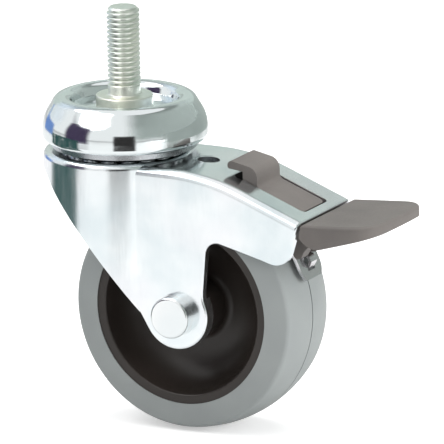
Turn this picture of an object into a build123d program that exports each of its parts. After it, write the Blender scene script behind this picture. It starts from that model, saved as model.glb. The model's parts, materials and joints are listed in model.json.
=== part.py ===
from build123d import *
import math
import os

# Swivel castor with a threaded stem, a 75 mm wheel and a foot brake.
# Millimetres. The origin is on the swivel axis, at the top face of the
# stem's flange. +Z runs up the stem, +X to the trailing (pedal) side.

# ---------------------------------------------------------------- stem
THREAD_D = 10.0
THREAD_LENGTH = 24.15
THREAD_TIP_CHAMFER = 1.15
NECK_LENGTH = 3.0
FLANGE_D = 17.4
FLANGE_T = 3.4
FLANGE_EDGE_R = 0.5
SHANK_D = 13.0
SHANK_END_D = 9.0
RIVET_HEAD_D = 14.4
RIVET_HEAD_T = 1.7
RIVET_EDGE_R = 1.2

# ------------------------------------------------- pressed bearing cover
COVER_T = 1.6
COVER_R = 25.05
COVER_CREST_R = 19.2
COVER_CREST_RISE = 3.3
COVER_CREST_BEND_R = 3.06
COVER_FLANK_ANGLE = 59.8
COVER_SHOULDER_BEND_R = 11.0
COVER_DEPTH = 13.5
COVER_RIM_BEND_R = 1.8
COVER_RIM_TURN = 1.2
RECESS_WALL_R = 16.2
RECESS_WALL_LEAN = 1.1
RECESS_BEND_R = 1.2
RECESS_RIM_BEND_R = 1.6

# ------------------------------------------------------ swivel bearing
UPPER_TRACK_R = 16.4
UPPER_BALL_D = 5.5
UPPER_BALLS = 18
LOWER_TRACK_R = 10.5
LOWER_BALL_D = 4.0
LOWER_BALLS = 15
TRACK_CLEARANCE = 0.15
TRACK_DEPTH = 0.15
UPPER_LAND = 2.3
UPPER_BALL_SINK = 1.15
LOWER_LAND = 1.3
LOWER_BALL_DROP = 1.4
RACE_T = 2.0
RACE_BEND_R = 1.3
RACE_FLOOR_R = 10.6
RACE_LIP_R = 22.2
RACE_SHOULDER_DROP = 1.6
RACE_LIP_TO_CROWN = 1.2
CUP_T = 1.5
CUP_BEND_R = 0.5
CUP_FLOOR_DROP = 0.24
CUP_FLOOR_R = 8.3
CUP_LIP_R = 12.45
CUP_LIP_RISE = 2.1
BORE_CLEARANCE = 0.05
CROWN_HOLE_CLEARANCE = 1.0

# ---------------------------------------------------------------- fork
SHEET_T = 2.5
LEAST_BEND_R = 0.6
CROWN_TOP_Z = -16.6
CROWN_R = 23.0
CROWN_OFFSET = -2.2
CROWN_BEND_R = 2.1
SKIRT_DEPTH = 5.3
SKIRT_SETBACK = 5.4
SKIRT_CORNER = 2.4
SKIRT_CORNER_R = 4.0
FRONT_EDGE_SAG = 1.9
FORK_WIDTH = 35.3
CHANNEL_STEP = 0.9
CHANNEL_BEND_R = 2.6
CHANNEL_FLAT_X = 24.0
CHANNEL_ARC_R = 64.0
CHANNEL_SLOPE_X = 47.25
CHANNEL_END_X = 67.4
CHANNEL_END_SLOPE = 0.39
PLATE_HOLE_D = 6.74
PLATE_HOLE_X = 28.4
PLATE_RING_R = 4.5
PLATE_RING_W = 0.5
PLATE_RING_DEPTH = 0.2
SLOT_WIDTH = 15.9
SLOT_START_X = 40.5
SLOT_END_X = 64.6
SLOT_CORNER_R = 1.6
TAIL_DEPTH = 13.9
TAIL_FALL = 2.5
TAIL_LEAN = 4.6
TAIL_CORNER_R = 5.5
TAIL_FRONT_X = 54.0
NOTCH_FROM_AXLE = (10.9, 24.5)
NOTCH_R = 4.0
WAIST_FROM_AXLE = (10.4, 19.5)
WAIST_R = 8.0
BOSS_R = 10.7
BOSS_FLANGE_W = 2.35
BOSS_FLANGE_DEPTH = 4.4
SHEET_EDGE_R = 0.8
PRESSED_SHEET_T = 1.9
BOSS_START_ANGLE = 210.0
BOSS_END_ANGLE = 391.0

# --------------------------------------------------------------- wheel
WHEEL_D = 75.0
TYRE_WIDTH = 28.5
TREAD_CROWN = 1.7
TREAD_WIDTH = 25.84
TREAD_EDGE_R = 1.4
PARTING_GROOVE_W = 0.5
PARTING_GROOVE_DEPTH = 0.25
TYRE_SEAT_D = 56.8
TYRE_KEY_D = 60.4
TYRE_KEY_W = 9.0
TRAIL = 25.3
CROWN_TO_TYRE = 8.2
HUB_RIM_T = 2.7
HUB_RIM_W = 27.8
HUB_DISH_R = 23.6
HUB_WEB_T = 3.0
HUB_BOSS_D = 19.0
HUB_LENGTH = 25.2
HUB_FILLET_R = 2.2
HUB_RIM_EDGE_R = 0.6
HUB_BOSS_TAPER = 0.3
HUB_BOSS_EDGE_R = 0.8

# ---------------------------------------------------------------- axle
AXLE_D = 8.0
AXLE_HEAD_D = 12.6
AXLE_HEAD_T = 3.15
AXLE_HEAD_EDGE_R = 0.7
AXLE_END_CHAMFER = 0.8
WASHER_D = 13.2
WASHER_T = 1.2
NUT_AF = 13.0
NUT_T = 6.4
NUT_FACE_D = 13.26
NUT_CORNER_D = 14.82
NUT_COLLAR_T = 1.6
NUT_COLLAR_D = 11.6
NUT_COLLAR_WALL = 0.8
NUT_COLLAR_LIP = 0.2
NUT_COLLAR_EDGE_R = 0.5
INSERT_T = 1.3
AXLE_TAIL = 0.8
AXLE_FIT = 0.05
LEG_HOLE_CLEARANCE = 0.2
SLEEVE_T = 1.45
BUSH_T = 1.05
BUSH_FLANGE_D = 14.4
BUSH_FLANGE_T = 1.4
BUSH_LENGTH = 9.45
SLEEVE_END_GAP = 0.05

# --------------------------------------------------------------- brake
LEVER_WIDTH = 15.0
LEVER_PIVOT_X = 64.4
LEVER_BEAD_R = 2.2
BEAD_CHEEK = (1.8, 1.3)
NECK_DROP = 2.2
LEVER_GAP = 0.3
TAB_RISE = 4.2
TAB_T = 2.6
TAB_FALL = 2.1
TAB_TOP_R = 1.3
TAB_UNDER_R = 0.7
TAB_BACK_R = 3.6
TAB_FOOT_R = 1.8
TAB_ROOT_GAP = 3.2
TAB_THROAT = 0.6
TAB_NOSE_X = 38.6
TAB_BACK_X = 48.5
WEB_SINK = 0.5
WEB_DEPTH = 4.5
WEB_UNDER_RUN = 7.0
WEB_UNDER_DROP = 1.6
WEB_END_GAP = 1.0
WEB_CORNER_R = 2.0
TOE_ANGLE = 28.0
TOE_T = 1.9
TOE_BACK = (3.2, 2.4)
TOE_EDGE_R = 0.8
TOE_FORK_GAP = 0.8
TOE_FORK_DEPTH = 4.6
PEDAL_GAP = 0.8
PEDAL_LENGTH = 25.3
PEDAL_OVERRUN = 1.0
PEDAL_WIDTH = 36.6
PEDAL_FRONT_WIDTH = 35.2
PEDAL_DEPTH = 7.4
PEDAL_TIP_T = 3.0
PEDAL_CHIN_X = 4.6
PEDAL_CHIN_R = 5.0
PEDAL_HEEL = (1.1, 1.6)
PEDAL_FRONT = (0.7, 4.1)
PEDAL_TAIL_BOW = 1.2
PEDAL_TAIL_IN = 0.6
PEDAL_WIDEST_SHARE = 10.6 / 25.3
PEDAL_PLAN_START = 2.0
PEDAL_CORNER_R = 8.0
PEDAL_EDGE_R = 0.9
PEDAL_DROP = 0.2
PEDAL_RISE = 1.9
PEDAL_MIDDLE_RISE = 0.8
PEDAL_WALL = 2.2
PEDAL_RIB_T = 1.8
PEDAL_POCKETS = 3
POCKET_LENGTH = 16.0
POCKET_CORNER_R = 2.0
NECK_WIDTH = 28.0
SPRING_T = 1.0
SPRING_WIDTH = 13.0
SPRING_GAP = 1.5
SPRING_ROOT_X = 20.0
SPRING_ROOT_END_X = 31.5
SPRING_TONGUE_R = 5.0
HOOK_WIDTH = 3.6
HOOK_CUT_LENGTH = 12.0
HOOK_SIDE_GAP = 0.4
HOOK_RISE = 1.9
HOOK_T = 0.8
HOOK_BEND_R = 0.66
HOOK_START = 28.5
HOOK_END = 20.5
HOOK_ROOT_LAP = 0.8
HOOK_FRONT_RUN = 2.6
HOOK_REAR_RUN = 3.2
HOOK_TIP_LIFT = 0.4
SPRING_WRAP_START = 62.0
SPRING_WRAP_END = 17.0
SPRING_BEND_R = 3.0

# ------------------------------------------------- places worked out
COVER_FLOOR_Z = -FLANGE_T
RACE_FLOOR_Z = COVER_FLOOR_Z - COVER_T
UPPER_BALL_Z = CROWN_TOP_Z + UPPER_BALL_D / 2 - UPPER_BALL_SINK
CROWN_BOTTOM_Z = CROWN_TOP_Z - SHEET_T
LOWER_BALL_Z = CROWN_BOTTOM_Z - LOWER_BALL_DROP
CUP_FLOOR_Z = LOWER_BALL_Z - CUP_FLOOR_DROP
CHANNEL_TOP_Z = CROWN_TOP_Z - CHANNEL_STEP
WHEEL_R = WHEEL_D / 2
AXLE_Z = CROWN_TOP_Z - CROWN_TO_TYRE - WHEEL_R
HALF_FORK = FORK_WIDTH / 2
FORK_INSIDE = HALF_FORK - SHEET_T
AXLE_R = AXLE_D / 2
SLEEVE_R = AXLE_R + AXLE_FIT + SLEEVE_T
BUSH_BORE_R = SLEEVE_R + AXLE_FIT
BUSH_R = BUSH_BORE_R + BUSH_T
HUB_SEAT_R = TYRE_SEAT_D / 2
SPRING_R = WHEEL_R + SPRING_GAP + SPRING_T / 2
DEEP = 120.0
MARGIN = 5.0


# ------------------------------------------------------------- helpers
def section(*edges):
    """Close edges given as (X, Z) into a face on the plane Y = 0."""
    return Plane.XZ * make_face(Curve() + list(edges))


def polygon(*points):
    """Face with straight sides through (X, Z) points."""
    return Plane.XZ * make_face(Polyline(*points, close=True))


def rounded(face, corners):
    """Round the corners of a face nearest to each (X, Z, radius)."""
    for x, z, radius in corners:
        vertex = face.vertices().sort_by_distance(Vector(x, 0, z))[0]
        face = fillet(vertex, radius)
    return face


def across(face, width):
    """Extrude a face on Y = 0 to the given width, centred."""
    return extrude(face, width / 2, both=True)


def turned(face):
    """Revolve a face on Y = 0 about the swivel axis."""
    return revolve(face, Axis.Z)


def wheel_turned(points):
    """Revolve a half section of (radius, y) points about the axle."""
    face = Plane.XY * make_face(Polyline(*[(r, y) for r, y in points], close=True))
    return Pos(TRAIL, 0, AXLE_Z) * revolve(face, Axis.Y)


def sheet_ring(path, thickness):
    """Revolve a pressed sheet whose middle line is a wire in (X, Z)."""
    return turned(Plane.XZ * trace(path, thickness))


def track(ring_r, z, ball_d):
    """Torus that a row of balls needs as its rolling space."""
    return Pos(0, 0, z) * Torus(ring_r, ball_d / 2 + TRACK_CLEARANCE)


def on_axle(radius, angle):
    """Point (X, Z) at a radius and angle about the wheel's axle."""
    turn = math.radians(angle)
    return (TRAIL + radius * math.cos(turn), AXLE_Z + radius * math.sin(turn))


def at_axle(y):
    """Location on the axle whose local Z points along +Y."""
    return Pos(TRAIL, y, AXLE_Z) * Rot(-90, 0, 0)


def rod(radius, y_start, y_end):
    """Cylinder on the axle from one Y to another."""
    place = at_axle((y_start + y_end) / 2)
    return place * Cylinder(radius, abs(y_end - y_start))


def channel_top(x, depth=0.0):
    """Height of the fork channel's top, or of a level depth below it."""
    radius = CHANNEL_ARC_R - depth
    level = CHANNEL_TOP_Z - depth
    if x <= CHANNEL_FLAT_X:
        return level
    if x <= CHANNEL_SLOPE_X:
        run = x - CHANNEL_FLAT_X
        return level - (radius - math.sqrt(radius**2 - run**2))
    start = channel_top(CHANNEL_SLOPE_X, depth)
    return start - CHANNEL_END_SLOPE * (x - CHANNEL_SLOPE_X)


# ------------------------------------------------------ stem and cover
def make_stem():
    thread_r = THREAD_D / 2
    tip_z = NECK_LENGTH + THREAD_LENGTH
    shoulder_z = CUP_FLOOR_Z + CUP_T / 2
    rivet_top = shoulder_z - CUP_T
    rivet_end = rivet_top - RIVET_HEAD_T
    profile = polygon(
        (0, tip_z),
        (thread_r - THREAD_TIP_CHAMFER, tip_z),
        (thread_r, tip_z - THREAD_TIP_CHAMFER),
        (thread_r, 0),
        (FLANGE_D / 2, 0),
        (FLANGE_D / 2, -FLANGE_T),
        (SHANK_D / 2, -FLANGE_T),
        (SHANK_D / 2, shoulder_z),
        (SHANK_END_D / 2, shoulder_z),
        (SHANK_END_D / 2, rivet_top),
        (RIVET_HEAD_D / 2, rivet_top),
        (RIVET_HEAD_D / 2, rivet_end),
        (0, rivet_end),
    )
    profile = rounded(profile, [
        (FLANGE_D / 2, 0, FLANGE_EDGE_R),
        (RIVET_HEAD_D / 2, rivet_end, RIVET_EDGE_R),
    ])
    return turned(profile)


def make_bearing_cover():
    half = COVER_T / 2
    floor = COVER_FLOOR_Z - half
    crest_z = COVER_FLOOR_Z + COVER_CREST_RISE - half
    rim_z = COVER_FLOOR_Z + COVER_CREST_RISE - COVER_DEPTH + half
    side_r = COVER_R - half
    slope = math.radians(COVER_FLANK_ANGLE)
    bevel_r = COVER_CREST_R + (COVER_CREST_BEND_R - half) * math.tan(slope / 2)
    bevel_z = crest_z - (side_r - bevel_r) * math.tan(slope)
    path = FilletPolyline(
        (SHANK_D / 2 + BORE_CLEARANCE, floor),
        (RECESS_WALL_R, floor),
        (RECESS_WALL_R + RECESS_WALL_LEAN, crest_z),
        (bevel_r, crest_z),
        (side_r, bevel_z),
        (side_r, rim_z),
        (side_r - COVER_RIM_TURN, rim_z),
        radius=[
            RECESS_BEND_R,
            RECESS_RIM_BEND_R,
            COVER_CREST_BEND_R - half,
            COVER_SHOULDER_BEND_R - half,
            COVER_RIM_BEND_R - half,
        ],
    )
    return sheet_ring(path, COVER_T)


# ----------------------------------------------------- swivel bearing
def make_upper_race():
    half = RACE_T / 2
    floor = RACE_FLOOR_Z - half
    over_balls = UPPER_BALL_Z + UPPER_BALL_D / 2 + half - TRACK_DEPTH
    lip_r = RACE_LIP_R - half
    path = FilletPolyline(
        (SHANK_D / 2 + BORE_CLEARANCE, floor),
        (RACE_FLOOR_R, floor),
        (UPPER_TRACK_R - UPPER_LAND, over_balls),
        (UPPER_TRACK_R + UPPER_LAND, over_balls),
        (lip_r, over_balls - RACE_SHOULDER_DROP),
        (lip_r, CROWN_TOP_Z + RACE_LIP_TO_CROWN),
        radius=RACE_BEND_R,
    )
    return sheet_ring(path, RACE_T) - track(UPPER_TRACK_R, UPPER_BALL_Z, UPPER_BALL_D)


def make_lower_cup():
    half = CUP_T / 2
    under_balls = LOWER_BALL_Z - LOWER_BALL_D / 2 - half + TRACK_DEPTH
    path = FilletPolyline(
        (SHANK_END_D / 2 + BORE_CLEARANCE, CUP_FLOOR_Z),
        (CUP_FLOOR_R, CUP_FLOOR_Z),
        (LOWER_TRACK_R - LOWER_LAND, under_balls),
        (LOWER_TRACK_R + LOWER_LAND, under_balls),
        (CUP_LIP_R, under_balls + CUP_LIP_RISE),
        radius=CUP_BEND_R,
    )
    return sheet_ring(path, CUP_T) - track(LOWER_TRACK_R, LOWER_BALL_Z, LOWER_BALL_D)


def make_balls(count, ring_r, z, ball_d):
    ball = Sphere(ball_d / 2)
    return [Rot(0, 0, 360 * n / count) * Pos(ring_r, 0, z) * ball for n in range(count)]


# ---------------------------------------------------------------- fork
def channel_block(depth):
    """The channel's outside, or the space inside it at the sheet's depth."""
    half_width = HALF_FORK - depth
    arc_mid = (CHANNEL_FLAT_X + CHANNEL_SLOPE_X) / 2
    rear = CHANNEL_END_X + (MARGIN if depth else 0)
    top = [
        Line((CROWN_OFFSET, channel_top(0, depth)), (CHANNEL_FLAT_X, channel_top(0, depth))),
        ThreePointArc(
            (CHANNEL_FLAT_X, channel_top(0, depth)),
            (arc_mid, channel_top(arc_mid, depth)),
            (CHANNEL_SLOPE_X, channel_top(CHANNEL_SLOPE_X, depth)),
        ),
        Line((CHANNEL_SLOPE_X, channel_top(CHANNEL_SLOPE_X, depth)), (rear, channel_top(rear, depth))),
    ]
    rest = Polyline(
        (rear, channel_top(rear, depth)),
        (rear, -DEEP),
        (CROWN_OFFSET, -DEEP),
        (CROWN_OFFSET, channel_top(0, depth)),
    )
    block = across(section(*top, rest), 2 * half_width)
    low = channel_top(rear, depth) - 1
    bends = [
        edge for edge in block.edges()
        if abs(abs(edge.center().Y) - half_width) < 0.01 and edge.center().Z > low
    ]
    return fillet(bends, max(CHANNEL_BEND_R - depth, LEAST_BEND_R))


def crown_block(depth):
    """The crown's outside, or the space inside it at the sheet's depth."""
    top = CROWN_TOP_Z - depth
    height = DEEP + top
    drum = Pos(CROWN_OFFSET, 0, top - height / 2) * Cylinder(CROWN_R - depth, height)
    rim = drum.edges().filter_by(GeomType.CIRCLE).sort_by(Axis.Z)[-1]
    return fillet(rim, max(CROWN_BEND_R - depth, LEAST_BEND_R))


def leg_outline():
    """Side outline of the pressed sheet, on the plane Y = 0."""
    skirt_z = CROWN_TOP_Z - SKIRT_DEPTH
    front_x = CROWN_OFFSET - CROWN_R
    boss_start = on_axle(BOSS_R, BOSS_START_ANGLE)
    boss_middle = on_axle(BOSS_R, (BOSS_START_ANGLE + BOSS_END_ANGLE) / 2)
    boss_end = on_axle(BOSS_R, BOSS_END_ANGLE)
    skirt_end = (front_x + SKIRT_SETBACK, skirt_z)
    skirt_foot = (skirt_end[0] + SKIRT_CORNER, skirt_z - SKIRT_CORNER)
    waist = (TRAIL + WAIST_FROM_AXLE[0], AXLE_Z + WAIST_FROM_AXLE[1])
    notch = (TRAIL + NOTCH_FROM_AXLE[0], AXLE_Z + NOTCH_FROM_AXLE[1])
    tail_z = channel_top(CHANNEL_END_X) - TAIL_DEPTH
    tail_front = (TAIL_FRONT_X, tail_z + TAIL_FALL / 2)
    tail_tip = (CHANNEL_END_X - TAIL_LEAN, tail_z - TAIL_FALL / 2)
    outline = section(
        Polyline((front_x - MARGIN, 0), (front_x - MARGIN, skirt_z), skirt_end, skirt_foot),
        SagittaArc(skirt_foot, boss_start, FRONT_EDGE_SAG),
        ThreePointArc(boss_start, boss_middle, boss_end),
        Polyline(
            boss_end,
            waist,
            notch,
            tail_front,
            tail_tip,
            (CHANNEL_END_X, channel_top(CHANNEL_END_X)),
            (CHANNEL_END_X + MARGIN, 0),
            (front_x - MARGIN, 0),
        ),
    )
    return rounded(outline, [
        (*skirt_end, SKIRT_CORNER_R),
        (*boss_end, WAIST_R),
        (*notch, NOTCH_R),
        (*tail_tip, TAIL_CORNER_R),
    ])


def boss_sector(width):
    """Wedge over the part of the boss that is round, across the fork."""
    count = 6
    step = (BOSS_END_ANGLE - BOSS_START_ANGLE) / (count - 1)
    rim = [on_axle(3 * BOSS_R, BOSS_START_ANGLE + n * step) for n in range(count)]
    return across(polygon(on_axle(0, 0), *rim), width)


def boss_flanges(outline):
    """Inward flange along the edge of each leg, round the axle boss."""
    strip = across(outline - offset(outline, -BOSS_FLANGE_W), FORK_WIDTH)
    between = Box(4 * DEEP, FORK_WIDTH - 2 * BOSS_FLANGE_DEPTH, 4 * DEEP)
    return (strip & boss_sector(FORK_WIDTH)) - between


def round_sheet_edges(fork):
    """Round the legs' outer edges, starting from the axle bosses."""
    rims = [
        edge for edge in fork.edges().filter_by(GeomType.CIRCLE)
        if abs(edge.radius - BOSS_R) < 0.01 and abs(abs(edge.center().Y) - HALF_FORK) < 0.01
    ]
    return fillet(rims, SHEET_EDGE_R)


def plate_ring():
    """Shallow groove that the punch leaves round the plate's hole."""
    level = channel_top(PLATE_HOLE_X - PLATE_RING_R)
    outer = Cylinder(PLATE_RING_R + PLATE_RING_W / 2, 2 * PLATE_RING_DEPTH)
    inner = Cylinder(PLATE_RING_R - PLATE_RING_W / 2, 4 * PLATE_RING_DEPTH)
    return Pos(PLATE_HOLE_X, 0, level) * (outer - inner)


def crown_track():
    """Sheet pressed down under the crown, below the upper balls' groove."""
    pressed_r = UPPER_BALL_D / 2 + TRACK_CLEARANCE + PRESSED_SHEET_T
    ring = Pos(0, 0, UPPER_BALL_Z) * Torus(UPPER_TRACK_R, pressed_r)
    above = Pos(0, 0, CROWN_TOP_Z + (DEEP - SHEET_T) / 2) * Cylinder(CROWN_R, DEEP + SHEET_T)
    return ring - above


def make_fork():
    outline = leg_outline()
    blank = (crown_block(0) + channel_block(0)) - (crown_block(SHEET_T) + channel_block(SHEET_T))
    fork = blank & across(outline, 4 * HALF_FORK)
    fork += boss_flanges(outline)
    fork += crown_track()
    fork -= track(UPPER_TRACK_R, UPPER_BALL_Z, UPPER_BALL_D)
    fork -= track(LOWER_TRACK_R, LOWER_BALL_Z, LOWER_BALL_D)
    fork -= Pos(0, 0, CROWN_TOP_Z) * Cylinder(SHANK_D / 2 + CROWN_HOLE_CLEARANCE, 4 * SHEET_T)
    fork -= Pos(PLATE_HOLE_X, 0, CHANNEL_TOP_Z) * Cylinder(PLATE_HOLE_D / 2, 4 * SHEET_T)
    fork -= plate_ring()
    slot_x = (SLOT_START_X + SLOT_END_X) / 2
    slot = RectangleRounded(SLOT_END_X - SLOT_START_X, SLOT_WIDTH, SLOT_CORNER_R)
    slot_low = channel_top(SLOT_END_X) - 2 * SHEET_T
    fork -= Pos(slot_x, 0, slot_low) * extrude(slot, -slot_low)
    fork -= rod(AXLE_R + LEG_HOLE_CLEARANCE, -2 * HALF_FORK, 2 * HALF_FORK)
    return round_sheet_edges(fork)


# --------------------------------------------------------------- wheel
def mirrored_profile(half):
    """Full section from the (radius, y) points of its y > 0 half."""
    return half + [(r, -y) for r, y in reversed(half)]


def make_tyre():
    half_tread = TREAD_WIDTH / 2
    edge_r = WHEEL_R - TREAD_CROWN
    side_y = TYRE_WIDTH / 2
    seat_r = HUB_SEAT_R
    tread = ThreePointArc((edge_r, half_tread), (WHEEL_R, 0), (edge_r, -half_tread))
    rest = Polyline(
        (edge_r, -half_tread),
        (seat_r, -side_y),
        (seat_r, -TYRE_KEY_W / 2),
        (TYRE_KEY_D / 2, -TYRE_KEY_W / 2),
        (TYRE_KEY_D / 2, TYRE_KEY_W / 2),
        (seat_r, TYRE_KEY_W / 2),
        (seat_r, side_y),
        (edge_r, half_tread),
    )
    face = make_face(Curve() + [tread, rest])
    for y in (-half_tread, half_tread):
        corner = face.vertices().sort_by_distance(Vector(edge_r, y, 0))[0]
        face = fillet(corner, TREAD_EDGE_R)
    groove = Pos(WHEEL_R, 0, 0) * Rectangle(2 * PARTING_GROOVE_DEPTH, PARTING_GROOVE_W)
    return Pos(TRAIL, 0, AXLE_Z) * revolve(face - groove, Axis.Y)


def make_hub():
    rim_r = HUB_SEAT_R
    rim_y = HUB_RIM_W / 2
    key_y = TYRE_KEY_W / 2
    web_y = HUB_WEB_T / 2
    boss_r = HUB_BOSS_D / 2
    end_r = boss_r - HUB_BOSS_TAPER
    half_length = HUB_LENGTH / 2
    half = [
        (TYRE_KEY_D / 2, key_y),
        (rim_r, key_y),
        (rim_r, rim_y),
        (rim_r - HUB_RIM_T, rim_y),
        (HUB_DISH_R, web_y),
        (boss_r, web_y),
        (end_r, half_length),
        (BUSH_R, half_length),
    ]
    face = make_face(Polyline(*mirrored_profile(half), close=True))
    corners = [
        (HUB_DISH_R, web_y, HUB_FILLET_R),
        (boss_r, web_y, HUB_FILLET_R),
        (rim_r - HUB_RIM_T, rim_y, HUB_RIM_EDGE_R),
        (end_r, half_length, HUB_BOSS_EDGE_R),
    ]
    for side in (-1, 1):
        for r, y, size in corners:
            corner = face.vertices().sort_by_distance(Vector(r, side * y, 0))[0]
            face = fillet(corner, size)
    return Pos(TRAIL, 0, AXLE_Z) * revolve(face, Axis.Y)


def make_bush(side):
    half_length = HUB_LENGTH / 2
    barrel_end = half_length - BUSH_LENGTH
    return wheel_turned([
        (BUSH_BORE_R, side * barrel_end),
        (BUSH_R, side * barrel_end),
        (BUSH_R, side * half_length),
        (BUSH_FLANGE_D / 2, side * half_length),
        (BUSH_FLANGE_D / 2, side * (half_length + BUSH_FLANGE_T)),
        (BUSH_BORE_R, side * (half_length + BUSH_FLANGE_T)),
    ])


# ---------------------------------------------------------------- axle
def make_axle_sleeve():
    end = FORK_INSIDE - SLEEVE_END_GAP
    return rod(SLEEVE_R, -end, end) - rod(AXLE_R + AXLE_FIT, -end - 1, end + 1)


def make_axle_bolt():
    seat = -(HALF_FORK + WASHER_T)
    face_y = seat - AXLE_HEAD_T
    tail = HALF_FORK + WASHER_T + NUT_T + NUT_COLLAR_T + AXLE_TAIL
    head = rod(AXLE_HEAD_D / 2, face_y, seat)
    outer = head.edges().filter_by(GeomType.CIRCLE).sort_by(Axis.Y)[0]
    head = fillet(outer, AXLE_HEAD_EDGE_R)
    shank = rod(AXLE_R, seat, tail)
    end = shank.edges().filter_by(GeomType.CIRCLE).sort_by(Axis.Y)[-1]
    return head + chamfer(end, AXLE_END_CHAMFER)


def make_washer(side):
    start = side * HALF_FORK
    end = side * (HALF_FORK + WASHER_T)
    return rod(WASHER_D / 2, start, end) - rod(AXLE_R + LEG_HOLE_CLEARANCE, start - side, end + side)


def make_axle_nut():
    start = HALF_FORK + WASHER_T
    end = start + NUT_T + NUT_COLLAR_T
    hexagon = RegularPolygon(NUT_AF / 2, 6, major_radius=False)
    prism = at_axle(start) * extrude(hexagon, NUT_T)
    bevel = at_axle(start + NUT_T / 2) * Cylinder(NUT_CORNER_D / 2, NUT_T)
    rims = bevel.edges().filter_by(GeomType.CIRCLE)
    prism &= chamfer(rims, (NUT_CORNER_D - NUT_FACE_D) / 2)
    collar = rod(NUT_COLLAR_D / 2, start + NUT_T, end)
    outer = collar.edges().filter_by(GeomType.CIRCLE).sort_by(Axis.Y)[-1]
    collar = fillet(outer, NUT_COLLAR_EDGE_R)
    nut = prism + collar - rod(AXLE_R + AXLE_FIT, start - 1, end + 1)
    return nut - insert_disc()


def insert_disc():
    """Space of the nylon ring inside the nut's collar."""
    end = HALF_FORK + WASHER_T + NUT_T + NUT_COLLAR_T - NUT_COLLAR_LIP
    return rod(NUT_COLLAR_D / 2 - NUT_COLLAR_WALL, end - INSERT_T, end)


def make_nut_insert():
    return insert_disc() - rod(AXLE_R + AXLE_FIT, 0, 2 * FORK_WIDTH)


# --------------------------------------------------------------- brake
def spring_path():
    """Middle line of the brake spring, from its root to the tongue."""
    wrap_start = on_axle(SPRING_R, SPRING_WRAP_START)
    root_z = channel_top(SPRING_ROOT_END_X, SHEET_T + LEVER_GAP + SPRING_T / 2)
    run = (root_z - wrap_start[1]) * math.tan(math.radians(SPRING_WRAP_START))
    bend = (wrap_start[0] - run, root_z)
    lead = FilletPolyline((SPRING_ROOT_X, root_z), bend, wrap_start, radius=SPRING_BEND_R)
    middle = on_axle(SPRING_R, (SPRING_WRAP_START + SPRING_WRAP_END) / 2)
    wrap = ThreePointArc(wrap_start, middle, on_axle(SPRING_R, SPRING_WRAP_END))
    return Curve() + [lead, wrap]


def make_brake_spring():
    strip = across(Plane.XZ * trace(spring_path(), SPRING_T), SPRING_WIDTH)
    tip_z = on_axle(SPRING_R, SPRING_WRAP_END)[1] - SPRING_T
    front = Plane.YZ * Pos(0, tip_z + DEEP / 2) * Rectangle(SPRING_WIDTH, DEEP)
    low = front.vertices().sort_by(Axis.Z)[:2]
    strip &= extrude(fillet(low, SPRING_TONGUE_R), DEEP, both=True)
    inside = SPRING_R - 2 * SPRING_T
    outside = SPRING_R + 2 * SPRING_T
    window = polygon(
        on_axle(inside, HOOK_START),
        on_axle(outside, HOOK_START),
        on_axle(outside, HOOK_END),
        on_axle(inside, HOOK_END),
    )
    strip -= across(window, HOOK_WIDTH + 2 * HOOK_SIDE_GAP)
    bow = FilletPolyline(
        on_axle(SPRING_R, HOOK_START + HOOK_ROOT_LAP),
        on_axle(SPRING_R + HOOK_RISE, HOOK_START - HOOK_FRONT_RUN),
        on_axle(SPRING_R + HOOK_RISE, HOOK_END + HOOK_REAR_RUN),
        on_axle(SPRING_R + HOOK_TIP_LIFT, HOOK_END + HOOK_REAR_RUN / 2),
        radius=HOOK_BEND_R,
    )
    return strip + across(Plane.XZ * trace(bow, HOOK_T), HOOK_WIDTH)


def strip_bottom(x):
    """Underside of the sheet between the slot and the fork's rear edge."""
    return channel_top(x) - SHEET_T * math.hypot(1, CHANNEL_END_SLOPE)


def lever_pivot():
    """Pivot (X, Z): the bead's centre under the strip behind the slot."""
    lift = (LEVER_BEAD_R + LEVER_GAP) * math.hypot(1, CHANNEL_END_SLOPE)
    return (LEVER_PIVOT_X, strip_bottom(LEVER_PIVOT_X) - lift)


def lever_spine():
    """Side profile of the lever's middle: tab, web, bead seat and toe."""
    pivot = lever_pivot()
    tab_top = channel_top(TAB_NOSE_X) + TAB_RISE
    tab_back = tab_top - TAB_FALL
    tab_under = tab_top - TAB_T
    tab_root_x = SLOT_START_X + TAB_ROOT_GAP
    web_start = (TAB_BACK_X, channel_top(TAB_BACK_X) - WEB_SINK)
    web_end_x = SLOT_END_X - WEB_END_GAP
    web_end = (web_end_x, channel_top(web_end_x) - WEB_SINK)
    toe = on_axle(SPRING_R + SPRING_T / 2 + LEVER_GAP, TOE_ANGLE)
    toe_heel = (toe[0] + TOE_T, toe[1])
    spine = polygon(
        (TAB_NOSE_X, tab_under),
        (TAB_NOSE_X, tab_top),
        (TAB_BACK_X, tab_back),
        web_start,
        web_end,
        (pivot[0] - BEAD_CHEEK[0], pivot[1] + BEAD_CHEEK[1]),
        (pivot[0] + LEVER_BEAD_R, pivot[1]),
        (CHANNEL_END_X + PEDAL_GAP, pivot[1] - NECK_DROP),
        (toe[0] + TOE_BACK[0], toe[1] + TOE_BACK[1]),
        toe_heel,
        toe,
        (pivot[0] - WEB_UNDER_RUN, pivot[1] - WEB_UNDER_DROP),
        (TAB_BACK_X, web_start[1] - WEB_DEPTH),
        (tab_root_x, channel_top(tab_root_x) - WEB_DEPTH),
        (tab_root_x, tab_under - TAB_THROAT),
    )
    return rounded(spine, [
        (TAB_NOSE_X, tab_top, TAB_TOP_R),
        (TAB_NOSE_X, tab_under, TAB_UNDER_R),
        (TAB_BACK_X, tab_back, TAB_BACK_R),
        (*web_start, TAB_FOOT_R),
        (*toe, TOE_EDGE_R),
        (*toe_heel, TOE_EDGE_R),
    ])


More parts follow.
